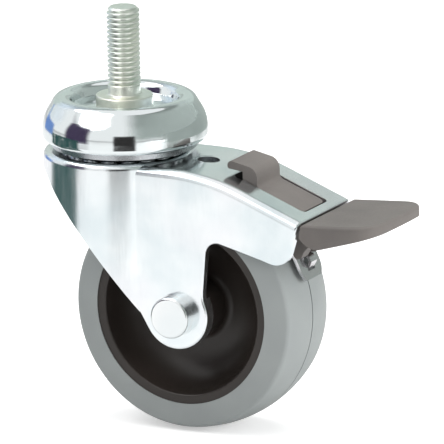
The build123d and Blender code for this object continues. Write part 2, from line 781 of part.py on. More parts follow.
def pedal_top(lower=0.0):
    """Gently dished top line of the pedal, or a line lower than it."""
    front_x = CHANNEL_END_X + PEDAL_GAP
    front_z = channel_top(CHANNEL_END_X) - PEDAL_DROP - lower
    length = PEDAL_LENGTH + PEDAL_OVERRUN
    middle = (front_x + length / 2, front_z + PEDAL_MIDDLE_RISE)
    return ThreePointArc((front_x, front_z), middle, (front_x + length, front_z + PEDAL_RISE))


def pedal_side():
    """Side profile of the pedal."""
    front = pedal_top().position_at(0)
    tail = pedal_top().position_at(1)
    low = front.Y - PEDAL_DEPTH
    side = section(
        pedal_top(),
        Polyline(
            (tail.X, tail.Y),
            (tail.X, tail.Y - PEDAL_TIP_T),
            (front.X + PEDAL_CHIN_X, low),
            (front.X + PEDAL_HEEL[0], low + PEDAL_HEEL[1]),
            (front.X - PEDAL_FRONT[0], front.Y - PEDAL_FRONT[1]),
            (front.X, front.Y),
        ),
    )
    return rounded(side, [(front.X + PEDAL_CHIN_X, low, PEDAL_CHIN_R)])


def pedal_plan():
    """Top view of the pedal, widest a little ahead of its middle."""
    front_x = CHANNEL_END_X + PEDAL_GAP
    start_x = front_x - PEDAL_PLAN_START
    tail_x = front_x + PEDAL_LENGTH
    half_front = PEDAL_FRONT_WIDTH / 2
    half_wide = PEDAL_WIDTH / 2
    half_tail = half_wide - PEDAL_TAIL_IN
    side_end_x = tail_x - PEDAL_TAIL_BOW
    sides = [
        ThreePointArc(
            (start_x, side * half_front),
            (front_x + PEDAL_LENGTH * PEDAL_WIDEST_SHARE, side * half_wide),
            (side_end_x, side * half_tail),
        )
        for side in (-1, 1)
    ]
    front = Line((start_x, -half_front), (start_x, half_front))
    tail = ThreePointArc((side_end_x, half_tail), (tail_x, 0), (side_end_x, -half_tail))
    plan = make_face(Curve() + [sides[0], tail, sides[1], front])
    corners = plan.vertices().sort_by(Axis.X)[-2:]
    return fillet(corners, PEDAL_CORNER_R)


def pedal_pockets():
    """Hollows under the pedal, left open between its ribs."""
    front_x = CHANNEL_END_X + PEDAL_GAP + PEDAL_WALL
    clear = PEDAL_FRONT_WIDTH - 2 * PEDAL_WALL - (PEDAL_POCKETS - 1) * PEDAL_RIB_T
    width = clear / PEDAL_POCKETS
    roof = pedal_top(PEDAL_WALL)
    start = roof.position_at(0)
    end = roof.position_at(1)
    under = section(
        roof,
        Polyline((end.X, end.Y), (end.X, -DEEP), (start.X, -DEEP), (start.X, start.Y)),
    )
    space = across(under, PEDAL_WIDTH)
    pockets = []
    for n in range(PEDAL_POCKETS):
        y = (n - (PEDAL_POCKETS - 1) / 2) * (width + PEDAL_RIB_T)
        shape = RectangleRounded(POCKET_LENGTH, width, POCKET_CORNER_R)
        pocket = Pos(front_x + POCKET_LENGTH / 2, y, -DEEP) * extrude(shape, DEEP)
        pockets.append(pocket & space)
    return pockets


def make_spine():
    """The lever's middle, with the web's rear corners rounded to suit the slot."""
    spine = across(lever_spine(), LEVER_WIDTH)
    web_end_x = SLOT_END_X - WEB_END_GAP
    web_end_z = channel_top(web_end_x) - WEB_SINK - LEVER_BEAD_R / 2
    corners = [
        spine.edges().sort_by_distance(Vector(web_end_x, side * LEVER_WIDTH / 2, web_end_z))[0]
        for side in (-1, 1)
    ]
    spine = fillet(corners, WEB_CORNER_R)
    hook_x, hook_z = on_axle(SPRING_R, TOE_ANGLE)
    return spine - Pos(hook_x, 0, hook_z) * Box(HOOK_CUT_LENGTH, HOOK_WIDTH + 2 * TOE_FORK_GAP, 2 * TOE_FORK_DEPTH)


def make_brake_lever():
    pivot = lever_pivot()
    front_x = CHANNEL_END_X + PEDAL_GAP
    pedal = across(pedal_side(), 2 * PEDAL_WIDTH) & (Pos(0, 0, -DEEP) * extrude(pedal_plan(), DEEP))
    top = pedal.faces().sort_by(Axis.Z)[-1]
    pedal = fillet(top.edges(), PEDAL_EDGE_R)
    for pocket in pedal_pockets():
        pedal -= pocket
    neck_end_x = front_x + PEDAL_WALL / 2
    below_strip = LEVER_GAP * math.hypot(1, CHANNEL_END_SLOPE)
    neck = polygon(
        (pivot[0], strip_bottom(pivot[0]) - below_strip),
        (neck_end_x, strip_bottom(neck_end_x) - below_strip),
        (neck_end_x, pivot[1] - NECK_DROP),
        (pivot[0], pivot[1] - LEVER_BEAD_R),
    )
    bead = Pos(pivot[0], 0, pivot[1]) * Rot(90, 0, 0) * Cylinder(LEVER_BEAD_R, NECK_WIDTH)
    return make_spine() + across(neck, NECK_WIDTH) + bead + pedal


# -------------------------------------------------------------- output
os.makedirs("parts", exist_ok=True)

PARTS = {
    "stem": make_stem(),
    "bearing_cover": make_bearing_cover(),
    "upper_race": make_upper_race(),
    "lower_cup": make_lower_cup(),
    "upper_balls": make_balls(UPPER_BALLS, UPPER_TRACK_R, UPPER_BALL_Z, UPPER_BALL_D),
    "lower_balls": make_balls(LOWER_BALLS, LOWER_TRACK_R, LOWER_BALL_Z, LOWER_BALL_D),
    "fork": make_fork(),
    "tyre": make_tyre(),
    "hub": make_hub(),
    "bush_left": make_bush(-1),
    "bush_right": make_bush(1),
    "axle_sleeve": make_axle_sleeve(),
    "axle_bolt": make_axle_bolt(),
    "axle_washer_near": make_washer(-1),
    "axle_washer_far": make_washer(1),
    "axle_nut": make_axle_nut(),
    "nut_insert": make_nut_insert(),
    "brake_spring": make_brake_spring(),
    "brake_lever": make_brake_lever(),
}

for name, shape in PARTS.items():
    solids = shape if isinstance(shape, list) else list(shape.solids())
    export_step(Compound(children=solids), f"parts/{name}.step")
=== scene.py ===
import json
import math

import bmesh
import bpy
from mathutils import Matrix, Vector


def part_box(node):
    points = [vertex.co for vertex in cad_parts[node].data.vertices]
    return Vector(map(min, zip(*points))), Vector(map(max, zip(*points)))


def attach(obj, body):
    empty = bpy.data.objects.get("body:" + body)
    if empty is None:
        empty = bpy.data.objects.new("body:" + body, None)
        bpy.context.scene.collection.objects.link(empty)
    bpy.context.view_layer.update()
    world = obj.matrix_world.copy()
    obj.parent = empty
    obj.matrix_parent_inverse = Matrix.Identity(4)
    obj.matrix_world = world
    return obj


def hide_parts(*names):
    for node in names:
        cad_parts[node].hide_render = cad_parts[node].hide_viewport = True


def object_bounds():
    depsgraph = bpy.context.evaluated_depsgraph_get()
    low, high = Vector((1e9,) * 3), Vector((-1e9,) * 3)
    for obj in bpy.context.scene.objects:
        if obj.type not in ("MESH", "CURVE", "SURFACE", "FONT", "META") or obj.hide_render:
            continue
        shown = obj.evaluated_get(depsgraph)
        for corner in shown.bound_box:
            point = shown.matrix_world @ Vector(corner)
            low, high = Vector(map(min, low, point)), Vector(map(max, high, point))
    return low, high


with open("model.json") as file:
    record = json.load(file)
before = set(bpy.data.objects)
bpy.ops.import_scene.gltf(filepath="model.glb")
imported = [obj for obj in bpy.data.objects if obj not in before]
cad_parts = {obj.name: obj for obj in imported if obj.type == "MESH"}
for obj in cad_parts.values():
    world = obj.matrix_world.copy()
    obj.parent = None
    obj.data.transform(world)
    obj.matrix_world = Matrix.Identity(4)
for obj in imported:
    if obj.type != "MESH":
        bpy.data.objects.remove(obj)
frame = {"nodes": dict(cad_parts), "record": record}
cad_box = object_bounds()

# Looks for the swivel castor. The castor's own sizes and the cards round it
# are in millimetres and become metres through MM. The camera's distance, the
# floor and the lamps are in metres. The origin is on the swivel axis, at the
# top of the stem's flange, +Z runs up the stem and +X points to the brake
# pedal.
MM = 0.001

# ------------------------------------------------------------ stem sizes
# Radii are from the swivel axis, and heights are over the flange's top. The
# thread's flank lies between two shares of a pitch, counted from the root.
THREAD_R = 5.0
THREAD_CORE_R = 4.08
THREAD_PITCH = 1.5
THREAD_FROM_Z = 2.6
THREAD_TO_Z = 27.15
THREAD_TIP_R = 3.95
THREAD_FLANK_FROM = 0.04
THREAD_FLANK_TO = 0.4
THREAD_SEGMENTS = 60
THREAD_STEPS = 12
THREAD_SPARE_TURNS = 2.0
THREAD_SEAM = 0.004
NECK_R = 4.96
NECK_Z = 3.0
NECK_EDGE_R = 0.25
NECK_ROOT_R = 0.6
FLANGE_R = 8.7
FLANGE_T = 3.4
FLANGE_EDGE_R = 0.5
SHANK_R = 6.5
SHANK_END_R = 4.5
SHOULDER_Z = -19.99
RIVET_TOP_Z = -21.49
RIVET_END_Z = -23.19
RIVET_R = 7.2
RIVET_EDGE_R = 1.2

# ------------------------------------------------------------- hub sizes
# Radii are from the axle, and the rest is from the wheel's middle plane.
HUB_KEY_R = 30.2
HUB_KEY_Y = 4.5
HUB_SEAT_R = 28.4
HUB_RIM_Y = 13.9
HUB_RIM_R = 25.7
HUB_RIM_EDGE_R = 0.6
HUB_DISH_R = 23.6
HUB_BOWL_R = 11.0
HUB_WEB_Y = 1.5
HUB_BOSS_R = 9.5
HUB_BOSS_ROOT_R = 2.2
HUB_BOSS_END_R = 9.2
HUB_BOSS_EDGE_R = 0.8
HUB_END_Y = 12.6
HUB_BORE_R = 6.6

# ---------------------------------------------------------- turned pieces
TURNED_SEGMENTS = 128
ROUNDING_STEPS = 8
TURNED_SEAM = 0.001
SMOOTH_BELOW = 32.0

# -------------------------------------------------------------- surfaces
# The grain of zinc plate and the grit of moulded plastic are too fine to
# show at their real size, so both are drawn coarser.
ZINC_CLOUD = 16.0
ZINC_CLOUD_EDGES = (0.35, 0.65)
ZINC_TINT = 34.0
ZINC_TINT_EDGES = (0.45, 0.75)
ZINC_GRAIN = 0.6
ZINC_GRAIN_DEPTH = 0.05
ZINC_GRAIN_STRENGTH = 0.1
CHROME_COLOUR = "#E4EAEB"
CHROME_WAVE = 7.0
CHROME_WAVE_DEPTH = 0.25
CHROME_WAVE_STRENGTH = 0.5
CHROME_HAZE = 1.2
CHROME_ROUGHNESS = (0.05, 0.12)
PLASTIC_CLOUD = 14.0
PLASTIC_ROUGHNESS_SPREAD = 0.08
PLASTIC_GRIT_STRENGTH = 0.5

# A mix node has sockets of the same name for each kind of value, so those
# of its colours are given by number.
MIX_SHARE = 0
MIX_FIRST = 6
MIX_SECOND = 7
MIX_COLOUR = 2

# ---------------------------------------------------------------- camera
IMAGE_SIZE = 444
CAMERA_DISTANCE = 4.0
CAMERA_AZIMUTH = 27.66
CAMERA_ELEVATION = 14.36
CAMERA_ROLL = -0.98
AIM = Vector((0.0, 0.0, -13.6 * MM))
AIM_PIXEL = (125.31, 137.2)
PIXELS_PER_MM = 3.309
SENSOR = 36.0
CLIP_DISTANCES = 4

# ---------------------------------------------------------------- studio
# The floor glows by its lift to the camera and by its glow in reflections.
FLOOR_Z = cad_box[0].z
FLOOR_HALF = 6.0
FLOOR_LIFT = 0.45
FLOOR_GLOW = 0.07
FLOOR_COLOUR = "#E6E6E6"
FLOOR_ROUGHNESS = 0.9
WHITE = "#FFFFFF"
FILL_STRENGTH = 0.55
LAMP_TARGET = (0.02, 0.0, -0.05)
CARD_STEPS = 16
CARD_BLOTS = 9.0
CARD_BLOT_EDGES = (0.36, 0.5)


# --------------------------------------------------------------- helpers
def linear(hex_colour):
    """An sRGB hex colour as linear RGBA."""
    channels = [int(hex_colour[i:i + 2], 16) / 255 for i in (1, 3, 5)]
    low = [c / 12.92 for c in channels]
    high = [((c + 0.055) / 1.055) ** 2.4 for c in channels]
    return tuple(b if c > 0.04045 else a for a, b, c in zip(low, high, channels)) + (1.0,)


def per_mm(size):
    """Texture scale on Object coordinates for a feature this many mm long."""
    return 1 / (size * MM)


def add_node(tree, kind, settings, inputs):
    """Add a node, set its properties, and fill or link its inputs.

    An input that is given a node takes that node's first output.
    """
    node = tree.nodes.new(kind)
    for name, value in settings.items():
        setattr(node, name, value)
    for socket, value in inputs.items():
        source = value.outputs[0] if isinstance(value, bpy.types.Node) else value
        if isinstance(source, bpy.types.NodeSocket):
            tree.links.new(source, node.inputs[socket])
        else:
            node.inputs[socket].default_value = source
    return node


def new_material(name):
    """An empty material and its node tree."""
    material = bpy.data.materials.new(name)
    material.use_nodes = True
    material.node_tree.nodes.clear()
    return material, material.node_tree


# ------------------------------------------------------------- materials
def zinc_plate(name, light, dark, tint, roughness, spread, streak=1.0):
    """Bright zinc plate on steel, or bare ground steel for the balls.

    Barrel or rack plated and blue passivated, it is a soft mirror with wide
    pale clouds, a faint second tint and a fine grain, which rolled sheet
    draws out into streaks this many times as long.
    """
    material, tree = new_material(name)
    place = add_node(tree, "ShaderNodeTexCoord", {}, {}).outputs["Object"]
    clouds = add_node(tree, "ShaderNodeTexNoise", {}, {
        "Vector": place,
        "Scale": per_mm(ZINC_CLOUD),
        "Detail": 3.0,
    })
    cover = add_node(tree, "ShaderNodeMapRange", {}, {
        "Value": clouds,
        "From Min": ZINC_CLOUD_EDGES[0],
        "From Max": ZINC_CLOUD_EDGES[1],
    })
    colour = add_node(tree, "ShaderNodeMix", {"data_type": "RGBA"}, {
        MIX_SHARE: cover,
        MIX_FIRST: linear(dark),
        MIX_SECOND: linear(light),
    })
    drift = add_node(tree, "ShaderNodeTexNoise", {}, {
        "Vector": place,
        "Scale": per_mm(ZINC_TINT),
        "Detail": 1.0,
    })
    share = add_node(tree, "ShaderNodeMapRange", {}, {
        "Value": drift,
        "From Min": ZINC_TINT_EDGES[0],
        "From Max": ZINC_TINT_EDGES[1],
    })
    tinted = add_node(tree, "ShaderNodeMix", {"data_type": "RGBA"}, {
        MIX_SHARE: share,
        MIX_FIRST: colour.outputs[MIX_COLOUR],
        MIX_SECOND: linear(tint),
    })
    drawn = add_node(tree, "ShaderNodeVectorMath", {"operation": "MULTIPLY"}, {
        0: place,
        1: (1, 1, 1 / streak),
    })
    grain = add_node(tree, "ShaderNodeTexNoise", {}, {
        "Vector": drawn,
        "Scale": per_mm(ZINC_GRAIN),
        "Detail": 5.0,
    })
    gloss = add_node(tree, "ShaderNodeMapRange", {}, {
        "Value": grain,
        "To Min": roughness - spread,
        "To Max": roughness + spread,
    })
    relief = add_node(tree, "ShaderNodeBump", {}, {
        "Height": grain,
        "Strength": ZINC_GRAIN_STRENGTH,
        "Distance": ZINC_GRAIN_DEPTH * MM,
    })
    shader = add_node(tree, "ShaderNodeBsdfPrincipled", {}, {
        "Metallic": 1.0,
        "Base Color": tinted.outputs[MIX_COLOUR],
        "Roughness": gloss,
        "Normal": relief,
    })
    add_node(tree, "ShaderNodeOutputMaterial", {}, {"Surface": shader})
    return material


def chrome_plate():
    """Polished chrome on a pressed cover.

    It is a near mirror, and the drawing of the steel leaves it faintly wavy.
    """
    material, tree = new_material("polished_chrome_plate")
    place = add_node(tree, "ShaderNodeTexCoord", {}, {}).outputs["Object"]
    waves = add_node(tree, "ShaderNodeTexNoise", {}, {
        "Vector": place,
        "Scale": per_mm(CHROME_WAVE),
        "Detail": 1.0,
    })
    haze = add_node(tree, "ShaderNodeTexNoise", {}, {
        "Vector": place,
        "Scale": per_mm(CHROME_HAZE),
        "Detail": 4.0,
    })
    gloss = add_node(tree, "ShaderNodeMapRange", {}, {
        "Value": haze,
        "To Min": CHROME_ROUGHNESS[0],
        "To Max": CHROME_ROUGHNESS[1],
    })
    relief = add_node(tree, "ShaderNodeBump", {}, {
        "Height": waves,
        "Strength": CHROME_WAVE_STRENGTH,
        "Distance": CHROME_WAVE_DEPTH * MM,
    })
    shader = add_node(tree, "ShaderNodeBsdfPrincipled", {}, {
        "Metallic": 1.0,
        "Base Color": linear(CHROME_COLOUR),
        "Roughness": gloss,
        "Normal": relief,
    })
    add_node(tree, "ShaderNodeOutputMaterial", {}, {"Surface": shader})
    return material


def moulded_plastic(name, light, dark, roughness, sheen, grit, depth):
    """Moulded plastic or rubber.

    Its colour runs through it in soft clouds, and the tool's spark-eroded
    surface leaves a matt grit, given by its size and depth in mm.
    """
    material, tree = new_material(name)
    place = add_node(tree, "ShaderNodeTexCoord", {}, {}).outputs["Object"]
    clouds = add_node(tree, "ShaderNodeTexNoise", {}, {
        "Vector": place,
        "Scale": per_mm(PLASTIC_CLOUD),
        "Detail": 2.0,
    })
    colour = add_node(tree, "ShaderNodeMix", {"data_type": "RGBA"}, {
        MIX_SHARE: clouds,
        MIX_FIRST: linear(dark),
        MIX_SECOND: linear(light),
    })
    grain = add_node(tree, "ShaderNodeTexNoise", {}, {
        "Vector": place,
        "Scale": per_mm(grit),
        "Detail": 4.0,
    })
    gloss = add_node(tree, "ShaderNodeMapRange", {}, {
        "Value": grain,
        "To Min": roughness - PLASTIC_ROUGHNESS_SPREAD,
        "To Max": roughness + PLASTIC_ROUGHNESS_SPREAD,
    })
    relief = add_node(tree, "ShaderNodeBump", {}, {
        "Height": grain,
        "Strength": PLASTIC_GRIT_STRENGTH,
        "Distance": depth * MM,
    })
    shader = add_node(tree, "ShaderNodeBsdfPrincipled", {}, {
        "Base Color": colour.outputs[MIX_COLOUR],
        "Roughness": gloss,
        "Specular IOR Level": sheen,
        "Normal": relief,
    })
    add_node(tree, "ShaderNodeOutputMaterial", {}, {"Surface": shader})
    return material


# -------------------------------------------------------- turned pieces
def rounded_outline(corners):
    """Points along corners given as (radius, height, rounding).

    A slerp gives unit vectors, so each is made as long as the rounding.
    """
    points = []
    for n, (x, y, rounding) in enumerate(corners):
        here = Vector((x, y))
        if rounding == 0:
            points.append(here)
            continue
        back = (Vector(corners[n - 1][:2]) - here).normalized()
        ahead = (Vector(corners[n + 1][:2]) - here).normalized()
        half_angle = back.angle(ahead) / 2
        centre = here + (back + ahead).normalized() * rounding / math.sin(half_angle)
        first = here + back * rounding / math.tan(half_angle) - centre
        last = here + ahead * rounding / math.tan(half_angle) - centre
        for step in range(ROUNDING_STEPS + 1):
            points.append(centre + first.slerp(last, step / ROUNDING_STEPS) * rounding)
    return points


def turned_mesh(corners, axis, centre):
    """Bmesh of a half section revolved about an axis through a centre."""
    made = bmesh.new()
    axis = Vector(axis)
    out = Vector((1, 0, 0))
    points = [
        made.verts.new(centre + (out * r + axis * h) * MM)
        for r, h in rounded_outline(corners)
    ]
    edges = [made.edges.new(pair) for pair in zip(points, points[1:])]
    if corners[0][0] > 0:
        edges.append(made.edges.new((points[-1], points[0])))
    bmesh.ops.spin(
        made,
        geom=points + edges,
        cent=centre,
        axis=axis,
        angle=math.tau,
        steps=TURNED_SEGMENTS,
    )
    bmesh.ops.remove_doubles(made, verts=made.verts, dist=TURNED_SEAM * MM)
    bmesh.ops.recalc_face_normals(made, faces=made.faces)
    return made


def add_piece(name, made, material):
    """Turn a bmesh into a smooth piece with its material."""
    mesh = bpy.data.meshes.new(name)
    made.to_mesh(mesh)
    made.free()
    mesh.materials.clear()
    mesh.materials.append(material)
    mesh.set_sharp_from_angle(angle=math.radians(SMOOTH_BELOW))
    piece = bpy.data.objects.new(name, mesh)
    bpy.context.scene.collection.objects.link(piece)
    return piece


# ------------------------------------------------------------------ stem
STEM_CORNERS = [
    (0, NECK_Z, 0),
    (NECK_R, NECK_Z, NECK_EDGE_R),
    (NECK_R, 0, NECK_ROOT_R),
    (FLANGE_R, 0, FLANGE_EDGE_R),
    (FLANGE_R, -FLANGE_T, 0),
    (SHANK_R, -FLANGE_T, 0),
    (SHANK_R, SHOULDER_Z, 0),
    (SHANK_END_R, SHOULDER_Z, 0),
    (SHANK_END_R, RIVET_TOP_Z, 0),
    (RIVET_R, RIVET_TOP_Z, 0),
    (RIVET_R, RIVET_END_Z, RIVET_EDGE_R),
    (0, RIVET_END_Z, 0),
]


def thread_tree():
    """Geometry Nodes: one strip of thread profile wound up a helix.

    The strip's long edges meet turn on turn and are merged. A spare turn
    past each end of the thread is held at that height and closes to the
    axis, which caps the screw.
    """
    tree = bpy.data.node_groups.new("Rolled Thread", "GeometryNodeTree")
    sizes = {
        "Crest Radius": THREAD_R * MM,
        "Root Radius": THREAD_CORE_R * MM,
        "Pitch": THREAD_PITCH * MM,
        "Start": THREAD_FROM_Z * MM,
        "End": THREAD_TO_Z * MM,
        "Tip Radius": THREAD_TIP_R * MM,
    }
    for name, value in sizes.items():
        socket = tree.interface.new_socket(
            name,
            in_out="INPUT",
            socket_type="NodeSocketFloat",
        )
        socket.default_value = value
    tree.interface.new_socket("Finish", in_out="INPUT", socket_type="NodeSocketMaterial")
    tree.interface.new_socket("Geometry", in_out="OUTPUT", socket_type="NodeSocketGeometry")
    size = add_node(tree, "NodeGroupInput", {}, {}).outputs
    start = size["Start"]
    end = size["End"]
    pitch = size["Pitch"]

    length = add_node(tree, "ShaderNodeMath", {"operation": "SUBTRACT"}, {0: end, 1: start})
    pitches = add_node(tree, "ShaderNodeMath", {"operation": "DIVIDE"}, {0: length, 1: pitch})
    whole = add_node(tree, "ShaderNodeMath", {"operation": "CEIL"}, {0: pitches})
    turns = add_node(tree, "ShaderNodeMath", {"operation": "ADD"}, {
        0: whole,
        1: THREAD_SPARE_TURNS,
    })
    rows = add_node(tree, "ShaderNodeMath", {"operation": "MULTIPLY_ADD"}, {
        0: turns,
        1: float(THREAD_SEGMENTS),
        2: 1.0,
    })
    strip = add_node(tree, "GeometryNodeMeshGrid", {}, {
        "Size X": 1.0,
        "Size Y": 1.0,
        "Vertices X": THREAD_STEPS + 1,
        "Vertices Y": rows,
    })

    split = add_node(tree, "ShaderNodeSeparateXYZ", {}, {0: strip.outputs["UV Map"]})
    across = split.outputs["X"]
    wound = add_node(tree, "ShaderNodeMath", {"operation": "MULTIPLY"}, {
        0: split.outputs["Y"],
        1: turns,
    })
    angle = add_node(tree, "ShaderNodeMath", {"operation": "MULTIPLY"}, {0: wound, 1: math.tau})
    climbed = add_node(tree, "ShaderNodeMath", {"operation": "ADD"}, {0: wound, 1: across})
    foot = add_node(tree, "ShaderNodeMath", {"operation": "SUBTRACT"}, {0: start, 1: pitch})
    height = add_node(tree, "ShaderNodeMath", {"operation": "MULTIPLY_ADD"}, {
        0: climbed,
        1: pitch,
        2: foot,
    })

    from_root = add_node(tree, "ShaderNodeMath", {"operation": "PINGPONG"}, {0: across, 1: 0.5})
    flank = add_node(tree, "ShaderNodeMapRange", {"interpolation_type": "SMOOTHSTEP"}, {
        "Value": from_root,
        "From Min": THREAD_FLANK_FROM,
        "From Max": THREAD_FLANK_TO,
        "To Min": size["Root Radius"],
        "To Max": size["Crest Radius"],
    })
    under_tip = add_node(tree, "ShaderNodeMath", {"operation": "SUBTRACT"}, {0: end, 1: height})
    room = add_node(tree, "ShaderNodeMath", {"operation": "MAXIMUM"}, {0: under_tip, 1: 0.0})
    chamfer = add_node(tree, "ShaderNodeMath", {"operation": "ADD"}, {
        0: room,
        1: size["Tip Radius"],
    })
    radius = add_node(tree, "ShaderNodeMath", {"operation": "MINIMUM"}, {0: flank, 1: chamfer})

    top = add_node(tree, "ShaderNodeMath", {"operation": "ADD"}, {0: end, 1: pitch})
    close_top = add_node(tree, "ShaderNodeMapRange", {}, {
        "Value": height,
        "From Min": end,
        "From Max": top,
        "To Min": 1.0,
        "To Max": 0.0,
    })
    close_foot = add_node(tree, "ShaderNodeMapRange", {}, {
        "Value": height,
        "From Min": foot,
        "From Max": start,
    })
    closed = add_node(tree, "ShaderNodeMath", {"operation": "MULTIPLY"}, {
        0: close_top,
        1: close_foot,
    })
    reach = add_node(tree, "ShaderNodeMath", {"operation": "MULTIPLY"}, {0: radius, 1: closed})
    level = add_node(tree, "ShaderNodeClamp", {}, {"Value": height, "Min": start, "Max": end})
    arm = add_node(tree, "ShaderNodeCombineXYZ", {}, {"X": reach, "Z": level})
    wrapped = add_node(tree, "ShaderNodeVectorRotate", {"rotation_type": "Z_AXIS"}, {
        "Vector": arm,
        "Angle": angle,
    })

    placed = add_node(tree, "GeometryNodeSetPosition", {}, {
        "Geometry": strip,
        "Position": wrapped,
    })
    merged = add_node(tree, "GeometryNodeMergeByDistance", {}, {
        "Geometry": placed,
        "Distance": THREAD_SEAM * MM,
    })
    real = add_node(tree, "GeometryNodeRealizeInstances", {}, {"Geometry": merged})
    finished = add_node(tree, "GeometryNodeSetMaterial", {}, {
        "Geometry": real,
        "Material": size["Finish"],
    })
    add_node(tree, "NodeGroupOutput", {}, {"Geometry": finished})
    return tree


def tree_mesh(tree, name, material):
    """Evaluate a Geometry Nodes tree to a plain mesh."""
    holder = bpy.data.objects.new(name, bpy.data.meshes.new(name))
    bpy.context.scene.collection.objects.link(holder)
    modifier = holder.modifiers.new(name, "NODES")
    modifier.node_group = tree
    for socket in tree.interface.items_tree:
        if socket.in_out == "INPUT" and socket.socket_type == "NodeSocketMaterial":
            modifier[socket.identifier] = material
    graph = bpy.context.evaluated_depsgraph_get()
    mesh = bpy.data.meshes.new_from_object(holder.evaluated_get(graph))
    holder.modifiers.remove(modifier)
    bpy.data.objects.remove(holder)
    return mesh


def make_threaded_stem(material):
    """The stem with its rolled thread, in the place of the plain one."""
    made = turned_mesh(STEM_CORNERS, (0, 0, 1), Vector((0, 0, 0)))
    made.from_mesh(tree_mesh(thread_tree(), "rolled_thread", material))
    bmesh.ops.recalc_face_normals(made, faces=made.faces)
    stem = add_piece("threaded_stem", made, material)
    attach(stem, "head")
    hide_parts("stem")


# ------------------------------------------------------------------- hub
HUB_HALF = [
    (HUB_KEY_R, HUB_KEY_Y, 0),
    (HUB_SEAT_R, HUB_KEY_Y, 0),
    (HUB_SEAT_R, HUB_RIM_Y, 0),
    (HUB_RIM_R, HUB_RIM_Y, HUB_RIM_EDGE_R),
    (HUB_DISH_R, HUB_WEB_Y, HUB_BOWL_R),
    (HUB_BOSS_R, HUB_WEB_Y, HUB_BOSS_ROOT_R),
    (HUB_BOSS_END_R, HUB_END_Y, HUB_BOSS_EDGE_R),
    (HUB_BORE_R, HUB_END_Y, 0),
]


def make_hub(material):
    """The hub with its dish swept into a bowl, in the place of the plain one."""
    low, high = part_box("hub")
    corners = HUB_HALF + [(r, -y, rounding) for r, y, rounding in reversed(HUB_HALF)]
    made = turned_mesh(corners, (0, 1, 0), (Vector(low) + Vector(high)) / 2)
    hub = add_piece("bowl_hub", made, material)
    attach(hub, "wheel")
    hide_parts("hub")


# ---------------------------------------------------------------- studio
def make_floor():
    """Pale floor that keeps the castor's shadow.

    It glows to the camera, so that it meets the white backdrop, and far less
    in reflections, where it would turn the fork's legs flat white.
    """
    material, tree = new_material("pale_studio_floor")
    path = add_node(tree, "ShaderNodeLightPath", {}, {}).outputs
    seen = add_node(tree, "ShaderNodeMath", {"operation": "MULTIPLY"}, {
        0: path["Is Camera Ray"],
        1: FLOOR_LIFT,
    })
    lift = add_node(tree, "ShaderNodeMath", {"operation": "MULTIPLY_ADD"}, {
        0: path["Is Glossy Ray"],
        1: FLOOR_GLOW,
        2: seen,
    })
    shader = add_node(tree, "ShaderNodeBsdfPrincipled", {}, {
        "Base Color": linear(FLOOR_COLOUR),
        "Roughness": FLOOR_ROUGHNESS,
        "Emission Color": linear(WHITE),
        "Emission Strength": lift,
    })
    add_node(tree, "ShaderNodeOutputMaterial", {}, {"Surface": shader})
    made = bmesh.new()
    corners = [
        made.verts.new((x * FLOOR_HALF, y * FLOOR_HALF, FLOOR_Z))
        for x, y in ((-1, -1), (1, -1), (1, 1), (-1, 1))
    ]
    made.faces.new(corners)
    add_piece("studio_floor", made, material)


def make_world():
    """White backdrop to the camera and in reflections, soft grey fill."""
    world = bpy.data.worlds.new("studio")
    bpy.context.scene.world = world
    world.use_nodes = True
    tree = world.node_tree
    tree.nodes.clear()
    path = add_node(tree, "ShaderNodeLightPath", {}, {}).outputs
    direct = add_node(tree, "ShaderNodeMath", {"operation": "MAXIMUM"}, {
        0: path["Is Camera Ray"],
        1: path["Is Glossy Ray"],
    })
    seen = add_node(tree, "ShaderNodeMath", {"operation": "MAXIMUM"}, {
        0: direct,
        1: path["Is Transmission Ray"],
    })
    strength = add_node(tree, "ShaderNodeMapRange", {}, {
        "Value": seen,
        "To Min": FILL_STRENGTH,
        "To Max": 1.0,
    })
    backdrop = add_node(tree, "ShaderNodeBackground", {}, {
        "Color": linear(WHITE),
        "Strength": strength,
    })
    add_node(tree, "ShaderNodeOutputWorld", {}, {"Surface": backdrop})


def make_lamp(name, place, size, power, in_mirrors):
    """Round soft lamp aimed at the castor."""
    lamp = bpy.data.lights.new(name, "AREA")
    lamp.shape = "DISK"
    lamp.size = size
    lamp.energy = power
    holder = bpy.data.objects.new(name, lamp)
    holder.location = place
    aim = Vector(LAMP_TARGET) - Vector(place)
    holder.rotation_mode = "QUATERNION"
    holder.rotation_quaternion = aim.to_track_quat("-Z", "Y")
    holder.visible_glossy = in_mirrors
    bpy.context.scene.collection.objects.link(holder)


